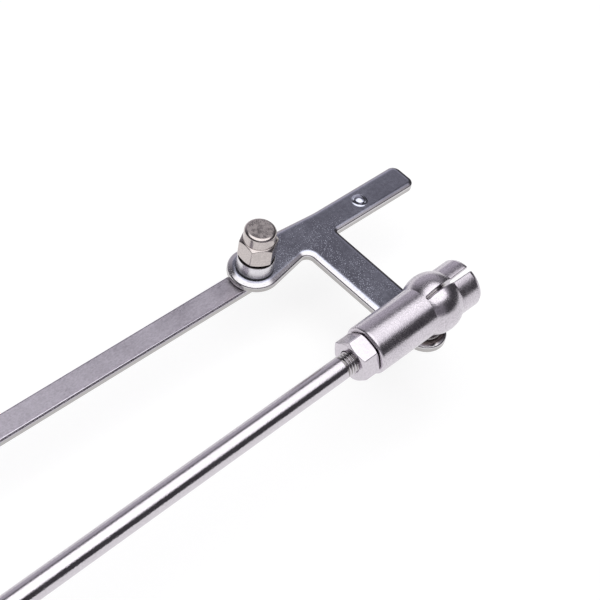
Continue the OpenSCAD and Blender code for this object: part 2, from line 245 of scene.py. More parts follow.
class StayFinish(bpy.types.PropertyGroup):
    """Colours and roughness of the finishes, and tones of painted shade."""

    lever_colour: colour("Lever steel", "Colour of the polished lever", 0.55, 0.565, 0.66)
    edge_colour: colour("Edge steel", "Colour of the lever's rolled edges", 0.60, 0.58, 0.60)
    side_colour: colour("Sheared steel", "Colour of the lever's and the bar's sides", 0.44, 0.425, 0.42)
    bar_colour: colour("Bar steel", "Colour of the satin bar", 0.55, 0.515, 0.58)
    rod_colour: colour("Rod steel", "Colour of the bright rod", 0.63, 0.595, 0.635)
    turned_colour: colour("Turned steel", "Colour of the sockets, pivot studs and lock nuts", 0.62, 0.58, 0.63)
    spacer_colour: colour("Spacer steel", "Colour of the satin spacers", 0.76, 0.74, 0.775)
    # Painted shade and grime in the roots of the thread
    root_shade_colour: colour("Thread roots", "Colour of the steel in the roots of the thread", 0.30, 0.285, 0.28)
    # Painted shade on top of the arm's end, under the ball joint
    socket_shade_colour: colour("Oil", "Colour of the oiled end of the arm, under the ball joint", 0.20, 0.17, 0.16)
    # Painted shade in the narrow gaps beside the lock nuts and on the spacers' steps
    gap_shade_colour: colour("Gaps", "Tone of the narrow dark gaps beside the nuts", 0.035, 0.03, 0.03)
    nut_colour: colour("Nut steel", "Colour of the cap nuts", 0.545, 0.495, 0.485)
    ball_colour: colour("Ball steel", "Colour of the ball studs", 0.44, 0.42, 0.42)
    bracket_colour: colour("Bracket steel", "Colour of the satin bracket", 0.60, 0.585, 0.62)
    nylon_colour: colour("Nylon", "Colour of the thin washers", 0.035, 0.035, 0.038)
    acetal_colour: colour("Acetal", "Colour of the ball seats", 0.82, 0.79, 0.70)
    lever_rough: share("Lever roughness", "Roughness of the polished lever", 0.15)
    bar_rough: share("Bar roughness", "Roughness of the satin bar", 0.36)
    rod_rough: share("Rod roughness", "Roughness of the bright rod", 0.15)
    turned_rough: share("Turned roughness", "Roughness of the turned sockets and pivot studs", 0.25)
    edge_rough: share("Edge roughness", "Roughness of the bar's edges", 0.10)
    speck_rough: share("Speck roughness", "Roughness of the small specks on the lever", 0.58)
    speck_spacing: length("Speck spacing", "Spacing of the specks on the lever", 0.46)
    spacer_rough: share("Spacer roughness", "Roughness of the satin spacers", 0.32)
    nut_rough: share("Nut roughness", "Roughness of the nuts", 0.16)
    cap_rough: share("Cap roughness", "Roughness of the cap nuts' flat tops", 0.29)
    ball_rough: share("Ball roughness", "Roughness of the ball studs", 0.12)
    bracket_rough: share("Bracket roughness", "Roughness of the satin bracket", 0.34)
    nylon_rough: share("Nylon roughness", "Roughness of the thin washers", 0.5)
    acetal_rough: share("Acetal roughness", "Roughness of the ball seats", 0.42)


class StayStudio(bpy.types.PropertyGroup):
    """Camera and light."""

    azimuth: angle("Azimuth", "Direction from which the camera looks, from the frame's -Y", 12.57)
    elevation: angle("Elevation", "Height of the camera above the level", 48.1)
    roll: angle("Roll", "Roll of the camera", -11.0)
    lens: bpy.props.FloatProperty(name="Lens", description="Focal length on a 36 mm sensor", default=120.0,
                                  unit="CAMERA")
    distance: length("Distance", "Distance from the camera to the lever's pivot, along the view", 542.35)
    pivot_u: bpy.props.FloatProperty(name="Pivot across", description="Pixel column of the lever's pivot",
                                     default=254.62)
    pivot_v: bpy.props.FloatProperty(name="Pivot down", description="Pixel row of the lever's pivot", default=266.24)
    softbox: strength("Softbox", "Brightness of the softbox overhead", 1.75)
    side_wall: strength("Side wall", "Brightness of the wall on the bar's side", 0.52)
    front_panel: strength("Front panel", "Brightness of the dim panel in front", 0.17)
    flank: strength("Softbox flank", "Brightness beside the softbox, beyond the bar's end", 0.42)
    dark_room: strength("Dark room", "Brightness of the unlit room", 0.064)
    room_colour: colour("Room", "Colour of the room's light", 0.94, 0.90, 1.0)
    floor_glow: share("Floor glow", "Share of the floor's white that takes no shadow", 0.80)
    floor_colour: colour("Floor", "Colour of the floor", 0.30, 0.30, 0.30)


# Surfaces

class Skin:
    """Points and faces of one piece in its own axes, collected part by part."""

    def __init__(self):
        self.points, self.faces, self.smooth, self.count = [], [], [], 0

    def add(self, points, faces, smooth=True):
        """Adds points with the faces between them, and returns the number of the first point."""
        first = self.count
        flat = np.asarray(points, float).reshape(-1, 3)
        self.points.append(flat)
        self.count += len(flat)
        self.join(first, faces, smooth)
        return first

    def join(self, first, faces, smooth):
        """Adds faces between points that are already there, counted from first."""
        self.faces += [[first + corner for corner in face] for face in np.asarray(faces, int).tolist()]
        self.smooth += [smooth] * len(faces)


def quads(rows, columns, close_rows=False, close_columns=False):
    """Corners of the four-sided faces between neighbouring points of a grid."""
    row = np.arange(rows if close_rows else rows - 1)[:, None]
    column = np.arange(columns if close_columns else columns - 1)[None, :]
    next_row, next_column = (row + 1) % rows, (column + 1) % columns
    corners = [row * columns + column, row * columns + next_column,
               next_row * columns + next_column, next_row * columns + column]
    return np.stack(corners, -1).reshape(-1, 4)


def eased(corners, reach, steps=3, closed=False):
    """Outline with eased corners.

    Each corner c between its neighbours becomes the quadratic curve (1-t)^2 a + 2t(1-t) c + t^2 b, where a and b
    lie on its two sides, reach away from it, or three tenths of a side that is short. One more point on each side
    keeps the flats flat in shading. The outline may be an array of outlines: corners run along the first axis, and
    the last axis holds the coordinates.
    """
    most_of_side, flat_from = 0.3, 1.4
    corners = np.asarray(corners, float)
    if closed:
        corners = np.concatenate([corners[-1:], corners, corners[:1]])
    t = np.linspace(0.0, 1.0, steps + 1).reshape((-1,) + (1,) * (corners.ndim - 1))
    found = []
    for before, corner, after in zip(corners[:-2], corners[1:-1], corners[2:]):
        sides = np.stack([before - corner, after - corner])
        lengths = np.linalg.norm(sides, axis=-1, keepdims=True)
        steps_off = sides / lengths * np.minimum(reach, most_of_side * lengths)
        start, end = corner + steps_off
        curve = (1 - t) ** 2 * start + 2 * t * (1 - t) * corner + t ** 2 * end
        found += [(corner + flat_from * steps_off[0])[None], curve, (corner + flat_from * steps_off[1])[None]]
    middle = np.concatenate(found)
    return middle if closed else np.concatenate([corners[:1], middle, corners[-1:]])


def turned(profile, angles):
    """Surface of revolution: a profile of (radius, height) carried round z, where x = r cos a and y = r sin a."""
    profile = np.asarray(profile, float)
    if profile.ndim == 2:
        profile = profile[:, None]
    radius, height = profile[..., 0], profile[..., 1]
    return np.stack(np.broadcast_arrays(radius * np.cos(angles), radius * np.sin(angles), height), -1)


def full_turn(count=ROUND):
    """Evenly spaced angles of one full turn."""
    return np.linspace(0.0, 2 * np.pi, count, endpoint=False)


def quarter_turn(count=9):
    """Evenly spaced angles of a quarter turn, with both ends."""
    return np.linspace(0.0, np.pi / 2, count)


def turned_skin(profile, closed=False, angles=None):
    """Skin of a turned piece, from a profile that starts and ends on the axis or is a closed loop."""
    skin = Skin()
    points = turned(profile, full_turn() if angles is None else angles)
    skin.add(points, quads(*points.shape[:2], close_rows=closed, close_columns=True))
    return skin


def hex_angles():
    """Angles round a hexagon, crowded towards its corners: each side is swept as 30 degrees times a sine."""
    sweep = np.sin(np.pi / 2 * np.linspace(-1.0, 1.0, HEX_SIDE, endpoint=False))
    return (HEX_FACES[:, None] + np.radians(30) * sweep).ravel()


def hex_radius(angles, across):
    """Radius of a hexagon with eased corners: half the width across flats over the high-power mean of its face
    directions' cosines."""
    cosines = np.clip(np.cos(angles[:, None] - HEX_FACES), 0.0, None)
    return across / 2 / (cosines ** HEX_POWER).sum(1) ** (1 / HEX_POWER)


def arc_outline(*arcs, turn_step=math.radians(4.0)):
    """Closed outline of arcs joined by straight lines, as (points, outward normals, roll shares).

    Each arc is (centre, radius, first angle, last angle, share of the edge's width) in radians. An arc that runs
    clockwise is hollow, so its normals point at its centre.
    """
    points, normals, shares = [], [], []
    for centre, radius, first, last, roll in arcs:
        count = max(3, int(abs(last - first) / turn_step) + 1)
        sweep = np.linspace(first, last, count)
        outward = np.stack([np.cos(sweep), np.sin(sweep)], -1)
        points.append(np.asarray(centre) + radius * outward)
        normals.append(outward * np.sign(last - first))
        shares.append(np.full((count, 1), roll))
    return np.concatenate(points), np.concatenate(normals), np.concatenate(shares)


def round_ended(first_x, last_x, radius):
    """Outline of a plate with a round end at each x."""
    return arc_outline(((first_x, 0.0), radius, np.pi / 2, 3 * np.pi / 2, 1.0),
                       ((last_x, 0.0), radius, -np.pi / 2, np.pi / 2, 1.0))


def rolled_edge(low, high, under, roll, slope, steps=48):
    """Edge of a plate as (inset, height): a quarter circle below, an upright side, and a rolled slope on top.

    Along the roll the surface tips slowly from level to a fifth of the slope over its first quarter, then faster to
    the whole slope, keeps that, and rounds off to upright over its last quarter. Its run and fall are the sums of the
    tip's cosines and sines, scaled to the width.
    """
    t = quarter_turn()
    below = np.stack([under * (1 - np.sin(t)), low + under * (1 - np.cos(t))], -1)
    along = (np.arange(steps) + 0.5) / steps
    places, tips = [0.0, 0.25, 0.47, 0.74, 1.0], [0.0, slope / 5, slope, slope, np.pi / 2]
    tip = np.interp(along, places, tips)
    run, fall = np.cumsum(np.cos(tip)), np.cumsum(np.sin(tip))
    above = np.stack([roll - run * roll / run[-1], high - fall * roll / run[-1]], -1)[::-1]
    lips = [(under + LIP, low)], [(roll, high), (roll + LIP, high)]
    return np.concatenate([lips[0], below, above, lips[1]])


def chamfered_edge(low, high, width, depth, ease):
    """Edge of a plate as (inset, height): an upright side between two chamfers with eased corners."""
    lip = width + 3 * ease
    return eased([(lip, low), (width, low), (0.0, low + depth), (0.0, high - depth), (width, high), (lip, high)],
                 ease)[1:-1]


def hole_profile(low, high, radius, chamfer=0.0, ease=0.1 * MM):
    """Wall of a hole as (radius, height), from below upwards, with eased rims and a chamfer at its top."""
    rim = max(chamfer, ease)
    walls = eased([(radius + 3 * ease, low), (radius, low), (radius, high - rim), (radius + rim, high),
                   (radius + rim + 3 * ease, high)], ease)
    return walls[1:-1]


def pip_profile(high, dome_r, foot_r, height, steps=40):
    """Pip on a plate as (radius, height), from its top outwards. Its slope grows slowly over the dome, is steepest at
    dome_r and is level again at foot_r. Its fall is the sum of the slopes' tangents, scaled to the pip's height."""
    radius = np.linspace(0.0, foot_r, steps + 1)
    places, slopes = [0.0, 0.84 * dome_r, dome_r, foot_r], np.radians([0.0, 22.0, 62.0, 0.0])
    slope = np.interp((radius[1:] + radius[:-1]) / 2, places, slopes)
    fall = np.append(0.0, np.cumsum(np.tan(slope)))
    return np.append(np.stack([radius, high + height * (1 - fall / fall[-1])], -1), [(foot_r + LIP, high)], axis=0)


def filled(loops):
    """Flat face inside the first loop and outside the other, round ones, as (points, triangles)."""
    lengths = [len(loop) for loop in loops]
    first = np.repeat(np.cumsum(lengths) - lengths, lengths)
    along = np.arange(len(first)) - first
    sides = np.stack([first + along, first + (along + 1) % np.repeat(lengths, lengths)], -1)
    flat = np.concatenate(loops)
    points = [Vector(point) for point in (flat[:, :2] / MM).tolist()]
    inside, nearness = 1, 1e-6
    found = delaunay_2d_cdt(points, sides.tolist(), [], inside, nearness)
    # A triangle with all its corners on one hole lies inside that hole
    corners = np.array([[found[3][corner][0] for corner in face] for face in found[2]])
    loop_of = first[corners]
    in_hole = (loop_of > 0) & (loop_of == loop_of[:, :1])
    return flat, corners[~in_hole.all(1)]


def plate_skin(outline, edge, holes, pips=()):
    """Skin of a plate: its edge profile is carried round its outline, each hole's wall round the hole, each pip's
    profile round the pip, and flat faces fill what is left above and below. A hole or pip is (centre, profile)."""
    points, normals, shares = outline
    skin = Skin()
    inset, level = edge[:, 0, None, None], edge[:, 1, None, None]
    # A narrower edge also falls less, so that its slope stays
    face = np.where(level > (level.min() + level.max()) / 2, level.max(), level.min())
    rim = np.concatenate([points - inset * shares * normals, face + (level - face) * shares], -1)
    skin.add(rim, quads(*rim.shape[:2], close_columns=True))
    walls = [turned(profile, full_turn(HOLE_ROUND)) + np.append(centre, 0.0) for centre, profile in [*holes, *pips]]
    for wall in walls:
        skin.add(wall, quads(*wall.shape[:2], close_columns=True))
    for end, through in ((0, walls[:len(holes)]), (-1, walls)):
        skin.add(*filled([surface[end] for surface in [rim] + through]), smooth=False)
    return skin


def make_piece(name, skin, axes, body, material):
    """Makes the mesh object of a piece that stands for the node of the same name and rides on a body."""
    own = np.concatenate(skin.points)
    mesh = bpy.data.meshes.new(name)
    mesh.from_pydata((own @ axes[:3, :3].T + axes[:3, 3]).tolist(), [], skin.faces)
    mesh.polygons.foreach_set("use_smooth", skin.smooth)
    work = bmesh.new()
    work.from_mesh(mesh)
    bmesh.ops.remove_doubles(work, verts=work.verts, dist=WELD)
    bmesh.ops.dissolve_degenerate(work, edges=work.edges, dist=WELD / 10)
    bmesh.ops.recalc_face_normals(work, faces=work.faces)
    work.to_mesh(mesh)
    work.free()
    mesh.materials.append(material)
    piece = bpy.data.objects.new(name + "_piece", mesh)
    bpy.context.scene.collection.objects.link(piece)
    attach(piece, body)
    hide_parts(name)


# Nodes of materials

class Graph:
    """Adds nodes to a node tree and links them."""

    def __init__(self, tree):
        self.tree = tree

    def add(self, kind, inputs=(), **settings):
        """Adds a node. Inputs are (socket, value or output) pairs."""
        node = self.tree.nodes.new("ShaderNode" + kind)
        for setting, value in settings.items():
            setattr(node, setting, value)
        for socket, value in dict(inputs).items():
            if isinstance(value, bpy.types.NodeSocket):
                self.tree.links.new(value, node.inputs[socket])
            else:
                node.inputs[socket].default_value = value
        return node

    def math(self, operation, *values, clamp=False):
        """Output of a Math node."""
        return self.add("Math", enumerate(values), operation=operation, use_clamp=clamp).outputs[0]

    def ramp(self, value, low, high, to_low=0.0, to_high=1.0, smooth=True):
        """Output of a Map Range node that takes low to to_low and high to to_high."""
        kind = "SMOOTHSTEP" if smooth else "LINEAR"
        inputs = {"Value": value, "From Min": low, "From Max": high, "To Min": to_low, "To Max": to_high}
        return self.add("MapRange", inputs, interpolation_type=kind).outputs["Result"]

    def under(self, value, top, first, last):
        """Mask that goes from 0 to 1 as value goes from first to last millimetres below top."""
        return self.ramp(value, top - first * MM, top - last * MM)

    def split(self, vector):
        """X, Y and Z of a vector."""
        return self.add("SeparateXYZ", {0: vector}).outputs

    def noise(self, vector, scale, detail, roughness):
        """Output of a Noise Texture."""
        inputs = {"Vector": vector, "Scale": scale, "Detail": detail, "Roughness": roughness}
        return self.add("TexNoise", inputs).outputs["Fac"]

    def group(self, tree, inputs):
        """Outputs of a node group."""
        return self.add("Group", inputs, node_tree=tree).outputs


def new_group(name, inputs, outputs):
    """Empty node group with float or vector inputs and float outputs."""
    tree = bpy.data.node_groups.new(name, "ShaderNodeTree")
    for socket, kind in inputs.items():
        tree.interface.new_socket(socket, in_out="INPUT", socket_type="NodeSocket" + kind)
    for socket in outputs:
        tree.interface.new_socket(socket, in_out="OUTPUT", socket_type="NodeSocketFloat")
    return tree, tree.nodes.new("NodeGroupInput").outputs, tree.nodes.new("NodeGroupOutput").inputs


def grind_lines():
    """Group of fine lines along one direction: noise of a vector that is squeezed along x by Stretch."""
    name = "grind lines"
    if name in bpy.data.node_groups:
        return bpy.data.node_groups[name]
    tree, given, result = new_group(name, {"Vector": "Vector", "Fineness": "Float", "Stretch": "Float"}, ["Lines"])
    g = Graph(tree)
    squeeze = g.add("CombineXYZ", {"X": given["Stretch"], "Y": 1.0, "Z": 1.0}).outputs[0]
    lines = g.add("VectorMath", {0: given["Vector"], 1: squeeze}, operation="MULTIPLY").outputs[0]
    tree.links.new(g.noise(lines, given["Fineness"], 4.0, 0.7), result["Lines"])
    return tree


def fine_marks():
    """Group of surface marks: broad soft blotches, and a grain of the given fineness."""
    name = "fine marks"
    if name in bpy.data.node_groups:
        return bpy.data.node_groups[name]
    tree, given, result = new_group(name, {"Vector": "Vector", "Grain": "Float"}, ["Blotches", "Grain"])
    g = Graph(tree)
    blotches_per_metre = 110.0
    tree.links.new(g.noise(given["Vector"], blotches_per_metre, 3.0, 0.5), result["Blotches"])
    tree.links.new(g.noise(given["Vector"], given["Grain"], 2.0, 0.6), result["Grain"])
    return tree


def new_material(name, axes):
    """Material with a Principled BSDF, as (material, graph, shader node, coordinates in the given axes)."""
    material = bpy.data.materials.new(name)
    material.use_nodes = True
    g = Graph(material.node_tree)
    shader = material.node_tree.nodes["Principled BSDF"]
    place_on = {"Vector": g.add("TexCoord").outputs["Object"], "Location": axes[:3, 3],
                "Rotation": Matrix(axes.tolist()).to_euler()}
    return material, g, shader, g.add("Mapping", place_on, vector_type="TEXTURE").outputs[0]


def tinted(g, tone, spread, value):
    """Colour that goes from tone less spread to tone plus spread over the range of noise."""
    ends = [(*(channel * side for channel in tone), 1.0) for side in (1 - spread, 1 + spread)]
    return g.add("Mix", {0: g.ramp(value, *NOISE_RANGE), 6: ends[0], 7: ends[1]}, data_type="RGBA").outputs[2]


def relief(g, shader, height, depth):
    """Bumps of the given depth."""
    bump = g.add("Bump", {"Height": height, "Strength": 1.0, "Distance": depth})
    g.tree.links.new(bump.outputs["Normal"], shader.inputs["Normal"])


def steel(name, axes, tone, rough, grain, depth, lines=None, spread=0.07):
    """Steel whose tone and roughness change with its grain and with broad handling marks.

    Grain is its fineness per metre, depth the height of its bumps, lines the stretch of ground lines along x, and
    spread the share by which its tone changes.
    Returns (material, graph, shader node, coordinates), so that a finish can add to it.
    """
    material, g, shader, own = new_material(name, axes)
    marks = g.group(fine_marks(), {"Vector": own, "Grain": grain})
    height = marks["Grain"]
    if lines:
        height = g.group(grind_lines(), {"Vector": own, "Fineness": grain, "Stretch": lines})["Lines"]
    g.tree.links.new(tinted(g, tone, spread, height), shader.inputs["Base Color"])
    broad = g.ramp(marks["Blotches"], *NOISE_RANGE, rough * 0.8, rough * 1.2)
    roughness = g.math("MULTIPLY", broad, g.ramp(height, 0.25, 0.75, 0.9, 1.1), clamp=True)
    g.tree.links.new(roughness, shader.inputs["Roughness"])
    relief(g, shader, height, depth)
    shader.inputs["Metallic"].default_value = 1.0
    return material, g, shader, own


def shaded(g, shader, mask, tone):
    """Brings a tone into the base colour where the mask is 1."""
    base = shader.inputs["Base Color"].links[0].from_socket
    mixed = g.add("Mix", {0: mask, 6: base, 7: (*tone, 1.0)}, data_type="RGBA").outputs[2]
    g.tree.links.new(mixed, shader.inputs["Base Color"])


def dulled(g, shader, mask, rough):
    """Brings another roughness in where the mask is 1."""
    base = shader.inputs["Roughness"].links[0].from_socket
    g.tree.links.new(g.add("Mix", {0: mask, 2: base, 3: rough}).outputs[0], shader.inputs["Roughness"])


def level_radius(g, vector):
    """Distance of a vector from the z axis."""
    x, y, _ = g.split(vector)
    return g.math("SQRT", g.math("ADD", g.math("MULTIPLY", x, x), g.math("MULTIPLY", y, y)))


def once(make):
    """Wraps a function that makes a material of a name, so that each name is made only once."""
    @functools.wraps(make)
    def find(name, *given):
        return bpy.data.materials.get(name) or make(name, *given)
    return find


@once
def polished_lever(name, finish, top, arm_r):
    """Polished plate with small dull specks, greyer sheared sides, and painted shade on the arm's end under the ball.
    """
    material, g, shader, own = steel(name, LEVER, finish.lever_colour, finish.lever_rough, grain=900.0, depth=0.0)
    along, _, level = g.split(own)
    # The specks crowd in patches and thin out along the tongue
    dots = g.add("TexVoronoi", {"Vector": own, "Scale": 1.0 / finish.speck_spacing}).outputs["Distance"]
    crowded = g.math("MULTIPLY", g.ramp(g.noise(own, 90.0, 2.0, 0.5), 0.30, 0.62),
                     g.ramp(along, 38.0 * MM, 22.0 * MM))
    dulled(g, shader, g.math("MULTIPLY", g.ramp(dots, 0.32, 0.14), crowded), finish.speck_rough)
    shaded(g, shader, g.under(level, top, 0.04, 0.22), finish.edge_colour)
    shaded(g, shader, g.under(level, top, 0.95, 1.10), finish.side_colour)
    # Painted shade: the top of the arm's end is darkened near the ball, under the socket
    from_ball = g.add("VectorMath", {0: own, 1: tuple(BALL_AT)}, operation="SUBTRACT").outputs[0]
    shade_near_ball = g.under(level_radius(g, from_ball), arm_r, 0.4, 1.0)
    shaded(g, shader, g.math("MULTIPLY", shade_near_ball, g.under(level, top, 0.9, 0.7)), finish.socket_shade_colour)
    return material


@once
def satin_bar(name, finish, half_width):
    """Satin steel, ground along its length, with smoother edges and greyer sides."""
    material, g, shader, own = steel(name, BAR, finish.bar_colour, finish.bar_rough, grain=2600.0, depth=0.012 * MM,
                                     lines=0.5, spread=0.14)
    across = g.math("ABSOLUTE", g.split(own)["Y"])
    dulled(g, shader, g.under(across, half_width, 0.80, 0.70), finish.edge_rough)
    shaded(g, shader, g.under(across, half_width, 0.06, 0.02), finish.side_colour)
    return material


@once
def bright_rod(name, finish, rod_r):
    """Bright drawn steel, with painted shade and grime in the roots of its thread."""
    axes = LEVER_END @ spin("Y", np.pi / 2)
    material, g, shader, own = steel(name, axes, finish.rod_colour, finish.rod_rough, grain=2800.0, depth=0.030 * MM)
    # Painted shade and grime: the thread's roots are darkened below the crest
    shaded(g, shader, g.under(level_radius(g, own), rod_r, 0.12, 0.40), finish.root_shade_colour)
    return material


@once
def turned_steel(name, finish):
    """Turned steel with a fine grain."""
    return steel(name, LEVER_END, finish.turned_colour, finish.turned_rough, grain=2800.0, depth=0.022 * MM,
                 spread=0.16)[0]


@once
def lock_nut_steel(name, finish, axes, face_x):
    """Bright lock nut, with painted shade in the narrow gap at the socket's face."""
    material, g, shader, own = steel(name, axes, finish.turned_colour, finish.nut_rough, grain=1800.0,
                                     depth=0.006 * MM)
    # Painted shade in the gap between the nut and the socket's face
    shaded(g, shader, g.under(g.split(own)["X"], face_x, 0.38, 0.22), finish.gap_shade_colour)
    return material


@once
def satin_spacer(name, finish, axes, shoulder):
    """Satin turned spacer with painted shade on its narrow step above the shoulder."""
    material, g, shader, own = steel(name, axes, finish.spacer_colour, finish.spacer_rough, grain=2300.0,
                                     depth=0.014 * MM, spread=0.08)
    # Painted shade on the narrow step above the shoulder, under the cap nut
    shaded(g, shader, g.under(g.split(own)["Z"], shoulder, 0.16, 0.10), finish.gap_shade_colour)
    return material


@once
def cap_steel(name, finish, axes, top):
    """Nickel-bright cap nut with a slight grain and a satin top."""
    material, g, shader, own = steel(name, axes, finish.nut_colour, finish.nut_rough, grain=2300.0, depth=0.012 * MM,
                                     spread=0.10)
    mottled = g.ramp(g.noise(own, 900.0, 4.0, 0.75), 0.35, 0.65, 0.6 * finish.cap_rough, 1.4 * finish.cap_rough)
    dulled(g, shader, g.under(g.split(own)["Z"], top, 0.06, 0.02), mottled)
    return material


@once
def ball_steel(name, finish):
    """Bright ball studs."""
    return steel(name, LEVER, finish.ball_colour, finish.ball_rough, grain=1700.0, depth=0.003 * MM)[0]


@once
def bracket_steel(name, finish):
    """Satin bracket, ground along its length."""
    return steel(name, np.eye(4), finish.bracket_colour, finish.bracket_rough, grain=2400.0, depth=0.012 * MM,
                 lines=0.2)[0]


@once
def plastic(name, tone, rough):
    """Moulded plastic with a faint grain."""
    material, g, shader, own = new_material(name, np.eye(4))
    marks = g.group(fine_marks(), {"Vector": own, "Grain": 1800.0})
    g.tree.links.new(tinted(g, tone, 0.08, marks["Blotches"]), shader.inputs["Base Color"])
    g.tree.links.new(g.ramp(marks["Grain"], *NOISE_RANGE, rough * 0.85, rough * 1.15), shader.inputs["Roughness"])
    relief(g, shader, marks["Grain"], 0.01 * MM)
    return material


# Pieces

class STAY_OT_flat_bar(bpy.types.Operator):
    """Builds the satin flat bar, a plate with round ends and a bore at each end"""

    bl_idname = "stay.flat_bar"
    bl_label = "Flat bar"

    def execute(self, context):
        sizes, nuts = context.scene.stay_plates, context.scene.stay_nuts
        low, high = own_box("flat_bar", BAR)
        radius = high[1]
        far_x = high[0] - radius
        edge = chamfered_edge(low[2], high[2], sizes.bar_edge, sizes.bar_depth, 0.2 * MM)
        bore = hole_profile(low[2], high[2], nuts.pivot_d / 2 + BORE_FIT, ease=0.06 * MM)
        skin = plate_skin(round_ended(0.0, far_x, radius), edge, [((0.0, 0.0), bore), ((far_x, 0.0), bore)])
        finish = satin_bar("satin_bar", context.scene.stay_finish, radius)
        make_piece("flat_bar", skin, BAR, "bar", finish)
        return {"FINISHED"}


class STAY_OT_lever_plate(bpy.types.Operator):
    """Builds the polished lever: a boss, a neck, a tongue with a pip and a side arm, with rolled edges on top"""

    bl_idname = "stay.lever_plate"
    bl_label = "Lever plate"

    def outline(self, sizes, boss_r, arm_r, tongue_end):
        """Outline of the lever in its own axes, as arcs from the boss round to the neck's bend."""
        tongue_top = sizes.tongue_offset + sizes.tongue_w / 2
        tongue_low = sizes.tongue_offset - sizes.tongue_w / 2
        arm_left, arm_right = BALL_AT[0] - arm_r, BALL_AT[0] + arm_r
        # The neck's edges leave the boss as tangents
        top_turn = (math.atan2(tongue_top, sizes.neck_top_x)
                    + math.acos(boss_r / math.hypot(sizes.neck_top_x, tongue_top)))
        low_turn = (math.atan2(-sizes.neck_root_y, arm_left)
                    - math.acos(boss_r / math.hypot(arm_left, sizes.neck_root_y)))
        low_slope = low_turn + np.pi / 2
        top_slope = top_turn - np.pi / 2
        neck_r, corner_r, hollow_r = sizes.neck_fillet, sizes.tongue_corner, sizes.tongue_fillet
        neck_centre = (arm_left - neck_r,
                       -sizes.neck_root_y - neck_r * (math.tan(low_slope) + 1 / math.cos(low_slope)))
        bend_centre = (sizes.neck_top_x + sizes.neck_bend * math.tan(-top_slope / 2), tongue_top + sizes.neck_bend)
        tip = tongue_end - corner_r
        arm, tongue = sizes.arm_roll, sizes.tongue_roll
        return arc_outline(
            ((0.0, 0.0), boss_r, top_turn, low_turn + 2 * np.pi, 1.0),
            (neck_centre, neck_r, low_slope + np.pi / 2, 0.0, arm),
            (BALL_AT[:2], arm_r, np.pi, 2 * np.pi, arm),
            ((arm_right + hollow_r, tongue_low - hollow_r), hollow_r, np.pi, np.pi / 2, tongue),
            ((tip, tongue_low + corner_r), corner_r, -np.pi / 2, 0.0, tongue),
            ((tip, tongue_top - corner_r), corner_r, 0.0, np.pi / 2, tongue),
            (bend_centre, sizes.neck_bend, -np.pi / 2, -np.pi / 2 + top_slope, tongue))

    def execute(self, context):
        sizes, nuts = context.scene.stay_plates, context.scene.stay_nuts
        low, high = own_box("lever_plate", LEVER)
        bottom, top = low[2], lever_top(sizes)
        arm_r = BALL_AT[1] - low[1]
        edge = rolled_edge(bottom, top, sizes.lever_under, sizes.lever_roll, sizes.lever_slope)
        pivot = hole_profile(bottom, top, nuts.pivot_d / 2 + RUNNING_FIT)
        rivet = hole_profile(bottom, top, sizes.rivet_d / 2 + PRESS_FIT, ease=0.03 * MM)
        pip = pip_profile(top, sizes.pip_d / 2, sizes.pip_foot_d / 2, sizes.pip_h)
        holes = [((0.0, 0.0), pivot), (BALL_AT[:2], rivet)]
        outline = self.outline(sizes, -low[0], arm_r, high[0])
        skin = plate_skin(outline, edge, holes, [((sizes.pip_x, sizes.tongue_offset), pip)])
        finish = polished_lever("polished_lever", context.scene.stay_finish, top, arm_r)
        make_piece("lever_plate", skin, LEVER, "lever", finish)
        return {"FINISHED"}


class STAY_OT_frame_bracket(bpy.types.Operator):
    """Builds the bracket, a plate with round ends, two countersunk screw holes and two rivet holes"""

    bl_idname = "stay.frame_bracket"
    bl_label = "Frame bracket"

    def execute(self, context):
        sizes = context.scene.stay_plates
        level = np.eye(4)
        low, high = own_box("frame_bracket", level)
        radius = high[1]
        screw_x = high[0] - radius
        edge = rolled_edge(low[2], high[2], sizes.bracket_edge, sizes.bracket_edge, sizes.bracket_slope, steps=12)
        screw = hole_profile(low[2], high[2], sizes.screw_d / 2, (sizes.screw_head_d - sizes.screw_d) / 2)
        rivet = hole_profile(low[2], high[2], sizes.rivet_d / 2 + PRESS_FIT, ease=0.03 * MM)
        holes = [((side * x, 0.0), wall) for x, wall in ((screw_x, screw), (FRAME_BALL[0], rivet)) for side in (-1, 1)]
        skin = plate_skin(round_ended(-screw_x, screw_x, radius), edge, holes)
        finish = bracket_steel("satin_bracket", context.scene.stay_finish)
        make_piece("frame_bracket", skin, level, "frame", finish)
        return {"FINISHED"}


def nut_side(share_kept, chamfer, across, height, angles):
    """Corners of a nut's outside as (radius, height) at each angle: lower face, chamfer, side, chamfer, upper face.
    The chamfer's cone takes each point down by its slope times the radius beyond the face."""
    side = hex_radius(angles, across)
    face = np.full_like(side, share_kept * across / 2)
    drop = (side - face) * math.tan(chamfer)
    return [(face, 0 * side), (side, drop), (side, height - drop), (face, 0 * side + height)]


def as_profile(corners, angles):
    """Profile of (radius, height) corners, each a number or one number for every angle, as one array."""
    level = np.zeros_like(angles)
    return np.stack([np.stack([level + radius, level + height], -1) for radius, height in corners])


def lock_nut_skin(nuts, height, hole_d):
    """Skin of a hexagon nut with chamfered corners and a countersunk hole."""
    angles = hex_angles()
    hole, sink = hole_d / 2 + PRESS_FIT, 0.3 * MM
    corners = nut_side(nuts.face_share, nuts.lock_chamfer, nuts.lock_across, height, angles)
    corners += [(hole + sink, height), (hole, height - sink), (hole, sink), (hole + sink, 0.0)]
    return turned_skin(eased(as_profile(corners, angles), nuts.nut_edge, closed=True), True, angles)


